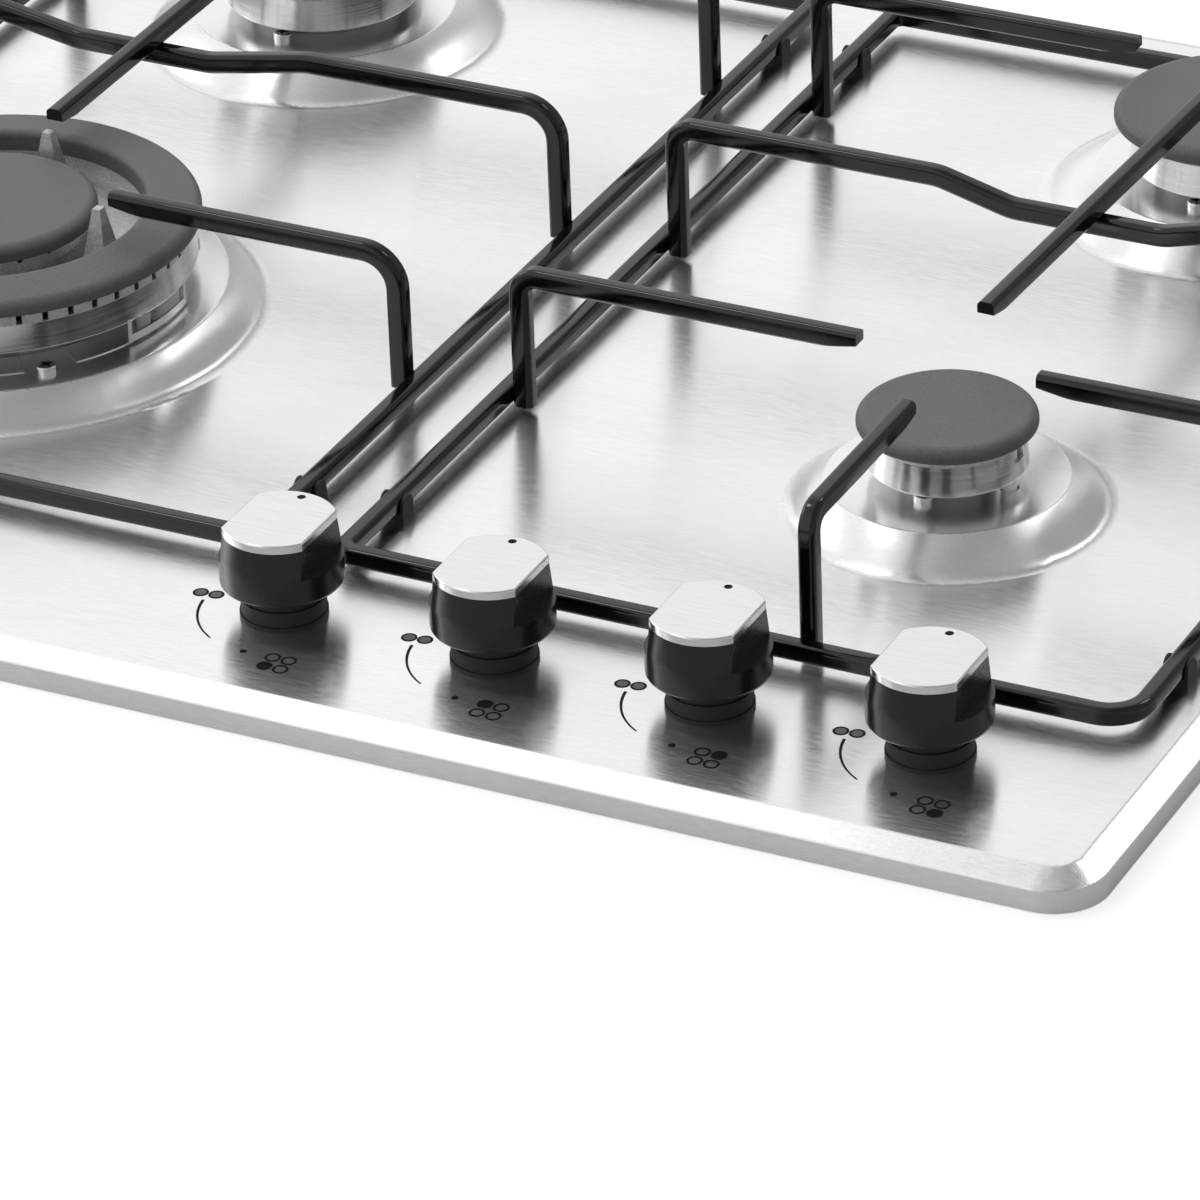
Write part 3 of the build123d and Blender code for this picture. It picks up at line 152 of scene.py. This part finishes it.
def soft_light(name, place, size, power):
    """A square area lamp of a size in metres and a power in watts that faces the middle of the hob."""
    data = bpy.data.lights.new(name, "AREA")
    data.shape = "SQUARE"
    data.size = size
    data.energy = power
    lamp = bpy.data.objects.new(name, data)
    back = np.array(place) / np.linalg.norm(place)
    right = np.cross((0, 1, 0), back)
    right = right / np.linalg.norm(right)
    up = np.cross(back, right)
    lamp.matrix_world = Matrix([(right[i], up[i], back[i], place[i]) for i in range(3)] + [(0, 0, 0, 1)])
    scene.collection.objects.link(lamp)


soft_light("rear_light", (1.0, 1.5, 2.1), size=0.6, power=6)
soft_light("left_light", (-1.9, -0.15, 1.05), size=0.8, power=4)
soft_light("overhead_light", (-0.9, -0.1, 2.1), size=0.4, power=3)


# ---- Pressed panel: brushed stainless sheet with four raised dishes, a bevelled rim and printed marks ----
# One 1.2 mm sheet, brushed from side to side before pressing, so its reflections are drawn out from
# front to rear. The wok dish has two shallow pressed pads. The marks are screen printed by each knob.
def pattern_of(tree, size, stretch=(1, 1, 1), detail=3.0):
    """Noise in Object coordinates with features of a size in mm, drawn out along each axis."""
    place = add(tree, "ShaderNodeTexCoord").outputs["Object"]
    scale = tuple(1000 / (size * factor) for factor in stretch)
    mapping = add(tree, "ShaderNodeMapping", Vector=place, Scale=scale)
    return add(tree, "ShaderNodeTexNoise", Vector=mapping.outputs[0], Scale=1.0, Detail=detail).outputs[0]


def ranged(tree, pattern, low, high):
    """The middle of a pattern's range spread between two values."""
    return add(tree, "ShaderNodeMapRange", Value=pattern, From_Min=0.3, From_Max=0.7,
               To_Min=low, To_Max=high).outputs[0]


def tinted(tree, factor, dark, light):
    """A colour between two sRGB hex colours."""
    return add(tree, "ShaderNodeMix", {"data_type": "RGBA"}, i0=factor,
               i6=linear(dark), i7=linear(light)).outputs[2]


def finished(name, dark, light, roughness, size, stretch=(1, 1, 1), relief=0.0, **settings):
    """Material whose one pattern, of a size in mm, sets colour, roughness (low, high) and relief in mm."""
    material, tree, output = new_material(name)
    pattern = pattern_of(tree, size, stretch)
    shader = add(tree, "ShaderNodeBsdfPrincipled", Roughness=ranged(tree, pattern, *roughness),
                 Base_Color=tinted(tree, ranged(tree, pattern, 0, 1), dark, light), **settings)
    if relief > 0:
        bump = add(tree, "ShaderNodeBump", Height=pattern, Distance=relief / 1000)
        tree.links.new(bump.outputs[0], shader.inputs["Normal"])
    tree.links.new(shader.outputs[0], output.inputs["Surface"])
    return material


def dress(material, names, split=28.0, level=True):
    """Gives CAD nodes a material, smooth shading and crisp edges; level keeps flat faces flat."""
    for name in names:
        piece = nodes[name]
        piece.data.materials.clear()
        piece.data.materials.append(material)
        piece.data.polygons.foreach_set("use_smooth", np.ones(len(piece.data.polygons), bool))
        weld = piece.modifiers.new("weld", "WELD")
        weld.merge_threshold = 1e-6
        crisp = piece.modifiers.new("crisp_edges", "EDGE_SPLIT")
        crisp.split_angle = math.radians(split)
        if level:
            flat_faces = piece.modifiers.new("flat_faces", "WEIGHTED_NORMAL")
            flat_faces.keep_sharp = True


brush_width = 0.35      # real brush lines are about 0.1 mm wide; drawn coarser so that they show
brush_length = 5.0
brush_relief = 0.0009
cloud_size = 60.0
flat_roughness = (0.21, 0.27)
slope_roughness = 0.12  # pressing stretches the sheet on the slopes of the dishes, which dulls it a little
brushed_steel, tree, output = new_material("brushed_stainless_steel")
brush_lines = pattern_of(tree, brush_width, (brush_length / brush_width, 1, 1), detail=4.0)
clouds = pattern_of(tree, cloud_size, (1.6, 1, 1), detail=2.0)
cloud_tint = tinted(tree, ranged(tree, clouds, 0, 1), "#f6f6f5", "#ffffff")
line_tint = tinted(tree, ranged(tree, brush_lines, 0, 1), "#efefee", "#fbfbfa")
steel_colour = add(tree, "ShaderNodeMix", {"data_type": "RGBA", "blend_type": "MULTIPLY"},
                   i0=1.0, i6=cloud_tint, i7=line_tint).outputs[2]
face_turn = add(tree, "ShaderNodeNewGeometry").outputs["Normal"]
face_up = add(tree, "ShaderNodeSeparateXYZ", Vector=face_turn).outputs["Z"]
stretched = add(tree, "ShaderNodeMapRange", Value=face_up, From_Min=0.80, From_Max=0.99,
                To_Min=slope_roughness, To_Max=0.0)
steel_roughness = add(tree, "ShaderNodeMath", {"operation": "ADD"},
                      i0=ranged(tree, brush_lines, *flat_roughness), i1=stretched.outputs[0])
along_brushing = add(tree, "ShaderNodeCombineXYZ", X=1.0, Y=0.0, Z=0.15)
steel = add(tree, "ShaderNodeBsdfPrincipled", Base_Color=steel_colour, Metallic=1.0, Anisotropic=0.8,
            Anisotropic_Rotation=0.25, Tangent=along_brushing.outputs[0],
            Roughness=steel_roughness.outputs[0])
brush_bump = add(tree, "ShaderNodeBump", Height=brush_lines, Distance=brush_relief / 1000)
tree.links.new(brush_bump.outputs[0], steel.inputs["Normal"])
tree.links.new(steel.outputs[0], output.inputs["Surface"])
dress(brushed_steel, ["top_panel"])


def sector_pad(centre, inner, outer, start, end, base, height, edge):
    """Shallow pad on a ring sector: z is base + height, falling by a cosine over edge mm at every side."""
    rows_across = 81
    rows_around = 121
    radius = np.linspace(inner, outer, rows_across)[:, None]
    angle = np.radians(np.linspace(start, end, rows_around))[None, :]
    radial = np.minimum(radius - inner, outer - radius)
    sideways = np.minimum(angle - angle.min(), angle.max() - angle) * radius
    inside = np.clip(np.minimum(radial + 0 * angle, sideways) / edge, 0, 1)
    z = base + height * (1 - np.cos(math.pi * inside)) / 2
    points = np.stack([centre[0] + radius * np.cos(angle), centre[1] + radius * np.sin(angle), z], -1)
    low = (np.arange(rows_across - 1)[:, None] * rows_around + np.arange(rows_around - 1)).ravel()
    return points.reshape(-1, 3), np.stack([low, low + rows_around, low + rows_around + 1, low + 1], 1)


def joined(parts):
    """One vertex array in metres and one face array from several in mm."""
    starts = np.cumsum([0] + [len(points) for points, faces in parts[:-1]])
    vertices = np.concatenate([points for points, faces in parts]) / 1000
    return vertices, np.concatenate([faces + start for (points, faces), start in zip(parts, starts)])


wok_axis = (-169.0, -70.0)
plateau_z = 21.0
pad_reach = (53.8, 65.6)
pad_angles = ((-36.3, -17.0), (-70.0, -50.8))
pad_height = 0.4
pad_edge = 0.55
pads = [sector_pad(wok_axis, *pad_reach, *angles, plateau_z, pad_height, pad_edge) for angles in pad_angles]
pressed_pads = new_piece("pressed_pads", *joined(pads), brushed_steel)
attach(pressed_pads, "hob")


def ribbon(path, widths, z):
    """Flat strip along a path of (x, y) points in mm: half its width to each side of the path."""
    path = np.asarray(path, float)
    along = np.gradient(path, axis=0)
    along /= np.linalg.norm(along, axis=1)[:, None]
    aside = np.stack([-along[:, 1], along[:, 0]], 1) * np.reshape(widths, (-1, 1)) / 2
    count = len(path)
    points = np.column_stack([np.concatenate([path + aside, path - aside]), np.full(2 * count, z)])
    low = np.arange(count - 1)
    return points, np.stack([low + count, low + count + 1, low + 1, low], 1)


def circle(centre, radius, width, z):
    """Closed flat ring about a point in mm, by its middle radius; width twice the radius fills it."""
    sides = 24
    angle = np.linspace(0, 2 * math.pi, sides + 1)
    path = np.stack([centre[0] + radius * np.cos(angle), centre[1] + radius * np.sin(angle)], 1)
    return ribbon(path, np.full(len(path), width), z)


print_z = 11.05
knob_y = -207.0
first_knob_x = 9.2
knob_pitch = 70.0
knob_xs = [first_knob_x + knob_pitch * place for place in range(4)]
mark_radius = 2.1
mark_line = 0.75
dot_pitch = 5.3
twin_dots = ((-28.6, 0.6), (-23.6, 1.1))
small_dot_y = -25.8
small_dot_radius = 1.1
icon_centre = (12.4, -28.3)
burner_spots = ((-1, -1), (-1, 1), (1, 1), (1, -1))
level_arc_radius = 25.9
level_arc_span = (187, 240)
level_arc_ends = (1.0, 0.5)     # widths of the line where the arc starts and where it ends
level_arc = np.radians(np.linspace(*level_arc_span, 28))
level_arc_widths = np.linspace(*level_arc_ends, level_arc.size)
level_arc_path = level_arc_radius * np.stack([np.cos(level_arc), np.sin(level_arc)], 1)
solid_radius = mark_radius + mark_line / 2
hole_radius = mark_radius - mark_line / 2
black_marks = []
grey_marks = []
for knob_x, own_burner in zip(knob_xs, burner_spots):
    for dx, dy in twin_dots:
        spot = (knob_x + dx, knob_y + dy)
        black_marks.append(circle(spot, mark_radius, mark_line, print_z))
        grey_marks.append(circle(spot, hole_radius / 2, hole_radius, print_z))
    black_marks.append(ribbon(level_arc_path + (knob_x, knob_y), level_arc_widths, print_z))
    spot = (knob_x, knob_y + small_dot_y)
    black_marks.append(circle(spot, small_dot_radius / 2, small_dot_radius, print_z))
    for side, depth in burner_spots:
        spot = (knob_x + icon_centre[0] + side * dot_pitch / 2,
                knob_y + icon_centre[1] + depth * dot_pitch / 2)
        if (side, depth) == own_burner:
            black_marks.append(circle(spot, solid_radius / 2, solid_radius, print_z))
        else:
            black_marks.append(circle(spot, mark_radius, mark_line, print_z))
black_ink = finished("black_screen_ink", "#101010", "#1c1c1c", (0.55, 0.7), 0.8, Specular_IOR_Level=0.15)
grey_ink = finished("grey_screen_ink", "#6c6c6c", "#7e7e7e", (0.55, 0.7), 0.8, Specular_IOR_Level=0.15)
for name, parts, ink in (("knob_marks_black", black_marks, black_ink),
                         ("knob_marks_grey", grey_marks, grey_ink)):
    marks = new_piece(name, *joined(parts), ink)
    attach(marks, "hob")


# ---- Burner cups: die-cast aluminium bodies screwed to the box from above, up through the dishes ----
# The castings are grey with a fine sandy skin. Two plated cross-recess screws hold each small cup down and
# four hold the wok's. A glazed white ceramic with a steel tip stands in a hole at the side.
cast_aluminium = finished("die_cast_aluminium", "#9d9d9c", "#b9b9b8", (0.42, 0.60), 0.9,
                          relief=0.03, Metallic=1.0)
dress(cast_aluminium, ["aux_cup", "semi_cup_right", "semi_cup_left", "wok_cup"])
plated_steel = finished("bright_zinc_plated_steel", "#cfcfce", "#e4e4e2", (0.16, 0.26), 1.5, Metallic=1.0)
dress(plated_steel, ["cup_screws", "clamp_screws", "inner_fasteners"])
# The cross recesses are painted shade: dark crosses that lie a hair above the screw heads.
aux_axis = (164.0, -70.0)
semi_right_axis = (165.0, 154.0)
semi_left_axis = (-167.0, 154.0)
recess_length = 3.8
recess_width = 0.9
recess_lift = 0.03
recess_turn = 0.4
head_reach = 3.8
screw_rings = (
    (aux_axis, 18, (90, 270)),
    (semi_right_axis, 30, (90, 270)),
    (semi_left_axis, 30, (90, 270)),
    (wok_axis, 66, (-45, 45, 135, 225)),
)
screw_points = np.empty((len(nodes["cup_screws"].data.vertices), 3))
nodes["cup_screws"].data.vertices.foreach_get("co", screw_points.reshape(-1))
screw_points *= 1000
recesses = []
for centre, ring_radius, angles in screw_rings:
    for angle in np.radians(angles):
        x = centre[0] + ring_radius * math.cos(angle)
        y = centre[1] + ring_radius * math.sin(angle)
        beside = np.hypot(screw_points[:, 0] - x, screw_points[:, 1] - y)
        head_top = screw_points[beside < head_reach, 2].max()
        for turn in (angle + recess_turn, angle + recess_turn + math.pi / 2):
            reach = np.linspace(-recess_length / 2, recess_length / 2, 9)
            path = np.stack([x + reach * math.cos(turn), y + reach * math.sin(turn)], 1)
            recesses.append(ribbon(path, np.full(len(path), recess_width), head_top + recess_lift))
# Painted shade of the cross recesses, in a dark metal.
shaded_recess = finished("shaded_screw_recess", "#1d1d1d", "#2e2e2e", (0.45, 0.60), 0.8, Metallic=1.0)
painted_recess_shade = new_piece("painted_recess_shade", *joined(recesses), shaded_recess)
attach(painted_recess_shade, "hob")
glazed_ceramic = finished("white_glazed_alumina", "#eceae4", "#f6f5f1", (0.18, 0.30), 1.2,
                          Coat_Weight=0.4, Coat_Roughness=0.08)
dress(glazed_ceramic, ["electrode_ceramics"])
spark_wire = finished("drawn_steel_wire", "#8f8f8e", "#b4b4b3", (0.28, 0.42), 0.8, Metallic=1.0)
dress(spark_wire, ["electrode_tips"])


# ---- Burner crowns: cast aluminium rings that lift off, with a turned band under the flame slots ----
# Only the band below the slots is turned on a lathe, so it shines and fine level lines run round it.
# The slotted rim, the sunk floor and the fins keep the pale sandy skin of the casting.
turned_line = 0.4       # real tool marks are about 0.1 mm apart; drawn coarser so that they show
casting_grain = 0.8
casting_relief = 0.03


def crown_finish(name, band_top_z):
    """Bright turned metal below the band's top, sandy casting above it."""
    material, tree, output = new_material(name)
    place = add(tree, "ShaderNodeTexCoord").outputs["Object"]
    height = add(tree, "ShaderNodeSeparateXYZ", Vector=place).outputs["Z"]
    is_cast = add(tree, "ShaderNodeMath", {"operation": "GREATER_THAN"},
                  i0=height, i1=band_top_z / 1000).outputs[0]
    tool_marks = pattern_of(tree, turned_line, (60, 60, 1))
    sand = pattern_of(tree, casting_grain, detail=5.0)
    turned_colour = tinted(tree, ranged(tree, tool_marks, 0, 1), "#d8d8d7", "#e6e6e5")
    cast_colour = tinted(tree, ranged(tree, sand, 0, 1), "#b4b4b3", "#dcdcdb")
    colour = add(tree, "ShaderNodeMix", {"data_type": "RGBA"}, i0=is_cast, i6=turned_colour, i7=cast_colour)
    roughness = add(tree, "ShaderNodeMix", i0=is_cast, i2=ranged(tree, tool_marks, 0.13, 0.20),
                    i3=ranged(tree, sand, 0.42, 0.58))
    relief = add(tree, "ShaderNodeMath", {"operation": "MULTIPLY"}, i0=sand, i1=is_cast)
    metal = add(tree, "ShaderNodeBsdfPrincipled", Base_Color=colour.outputs[2], Metallic=1.0,
                Roughness=roughness.outputs[0])
    bump = add(tree, "ShaderNodeBump", Height=relief.outputs[0], Distance=casting_relief / 1000)
    tree.links.new(bump.outputs[0], metal.inputs["Normal"])
    tree.links.new(metal.outputs[0], output.inputs["Surface"])
    return material


band_tops = {"aux": 35.6, "semi": 36.3, "wok": 37.9}
for burner, band_top in band_tops.items():
    crowns = [name for name in nodes if name.startswith(f"{burner}_crown")]
    dress(crown_finish(f"{burner}_crown_aluminium", band_top), crowns)


# ---- Burner caps: pressed steel discs in matt dark grey vitreous enamel, loose on the crowns ----
# The enamel is dusted on and fired, so it is dry and finely speckled. The rounded rim and the upright
# sides are painted darker than the top, as painted shade where they turn away from the light.
speckle_size = 0.9
speckle_height = 0.02
matt_enamel, tree, output = new_material("matt_grey_vitreous_enamel")
speckle = pattern_of(tree, speckle_size, detail=4.0)
face_turn = add(tree, "ShaderNodeNewGeometry").outputs["Normal"]
face_up = add(tree, "ShaderNodeSeparateXYZ", Vector=face_turn).outputs["Z"]
# Painted shade: the colour darkens from the flat top to the upright sides, by how far each face turns from
# upward.
painted_rim_shade = add(tree, "ShaderNodeMapRange", Value=face_up, From_Min=0.2, From_Max=0.95,
               To_Min=0.55, To_Max=1.0)
top_colour = tinted(tree, ranged(tree, speckle, 0, 1), "#646464", "#757575")
cap_colour = add(tree, "ShaderNodeMix", {"data_type": "RGBA"}, i0=painted_rim_shade.outputs[0],
                 i6=linear("#2c2c2c"), i7=top_colour).outputs[2]
enamel = add(tree, "ShaderNodeBsdfPrincipled", Base_Color=cap_colour,
             Roughness=ranged(tree, speckle, 0.46, 0.60))
speckle_relief = add(tree, "ShaderNodeBump", Height=speckle, Distance=speckle_height / 1000)
tree.links.new(speckle_relief.outputs[0], enamel.inputs["Normal"])
tree.links.new(enamel.outputs[0], output.inputs["Surface"])
dress(matt_enamel, ["aux_cap", "semi_cap_right", "semi_cap_left", "wok_ring_cap", "wok_centre_cap"])


# ---- Pan supports: welded steel bar frames in gloss black enamel, loose on rubber feet ----
# The enamel is thick and glassy with a slight orange peel. It mirrors the room and the lamps in long
# streaks along the bars.
gloss_enamel = finished("gloss_black_vitreous_enamel", "#060606", "#0b0b0b", (0.07, 0.12), 3.0, relief=0.015)
dress(gloss_enamel, ["support_right_frame", "support_right_bars", "support_left_frame", "support_left_bars"],
      split=50, level=False)
moulded_rubber = finished("moulded_black_rubber", "#0e0e0e", "#1b1b1b", (0.55, 0.72), 0.7, relief=0.01)
dress(moulded_rubber, ["support_right_feet", "support_left_feet", "rim_seal", "knob_collars"])


# ---- Knobs: satin black moulded bodies with a brushed metal cap, pushed on the tap stems ----
# The plastic is fine grained and softly shiny. The cap is pressed from aluminium and brushed across, with a
# small dark pointer hole.
knob_names = [f"knob_{number}" for number in range(1, 5)]
satin_plastic = finished("satin_black_plastic", "#0b0b0b", "#131313", (0.20, 0.28), 0.6, relief=0.003)
dress(satin_plastic, knob_names)
brushed_cap = finished("brushed_aluminium_cap", "#e0e0df", "#eaeae9", (0.17, 0.23), 0.5, (25, 1, 1),
                       relief=0.001, Metallic=1.0)
dress(brushed_cap, [f"knob_cap_{number}" for number in range(1, 5)])


# ---- Taps and gas way: die-cast taps on an aluminium rail under the panel, with brass jets ----
# The taps are plain castings, the rail and burner pipes drawn aluminium, and the jets, plugs and the
# inlet elbow turned brass.
tap_casting = finished("die_cast_tap_metal", "#8f8f91", "#adadae", (0.40, 0.56), 1.0,
                       relief=0.03, Metallic=1.0)
dress(tap_casting, ["tap_bodies", "tap_bonnets"])
turned_brass = finished("turned_brass", "#b08a45", "#cfa95f", (0.24, 0.36), 0.5, (30, 30, 1), Metallic=1.0)
dress(turned_brass, ["injectors", "inlet_elbow"] + [f"tap_plug_{number}" for number in range(1, 5)])
drawn_tube = finished("drawn_aluminium_tube", "#9c9c9c", "#b8b8b8", (0.28, 0.42), 1.0, (1, 8, 1),
                      Metallic=1.0)
dress(drawn_tube, ["gas_rail", "pipe_aux", "pipe_semi_left", "pipe_semi_right", "pipe_wok_inner",
                   "pipe_wok_outer"] + [f"tap_stem_{number}" for number in range(1, 5)])


# ---- Box, clamps and ignition: galvanised tray under the panel with the spark unit and terminals ----
# The tray is folded from hot-dip galvanised sheet, whose zinc shows a dull crystal pattern. The spark
# unit is a cream moulding with silicone leads.
spangle_size = 9.0
galvanised_sheet, tree, output = new_material("galvanised_sheet_steel")
place = add(tree, "ShaderNodeTexCoord").outputs["Object"]
crystals = add(tree, "ShaderNodeTexVoronoi", Vector=place, Scale=1000 / spangle_size)
crystal_shade = add(tree, "ShaderNodeSeparateColor", Color=crystals.outputs["Color"]).outputs["Red"]
zinc = add(tree, "ShaderNodeBsdfPrincipled", Metallic=1.0,
           Base_Color=tinted(tree, crystal_shade, "#9a9da0", "#b6b9bb"),
           Roughness=add(tree, "ShaderNodeMapRange", Value=crystal_shade, To_Min=0.34, To_Max=0.5).outputs[0])
tree.links.new(zinc.outputs[0], output.inputs["Surface"])
dress(galvanised_sheet, ["burner_box", "fixing_clamps", "rail_brackets"])
cream_plastic = finished("moulded_cream_plastic", "#d9d6ce", "#e3e1da", (0.42, 0.56), 0.6, relief=0.01)
dress(cream_plastic, ["ignition_module", "tap_switches"])
silicone_lead = finished("white_silicone_lead", "#cfccc4", "#dcd9d2", (0.50, 0.66), 1.0)
dress(silicone_lead, ["ignition_leads"])
black_plastic = finished("moulded_black_plastic", "#1d1d1d", "#282828", (0.40, 0.55), 0.6, relief=0.01)
dress(black_plastic, ["terminal_block"])
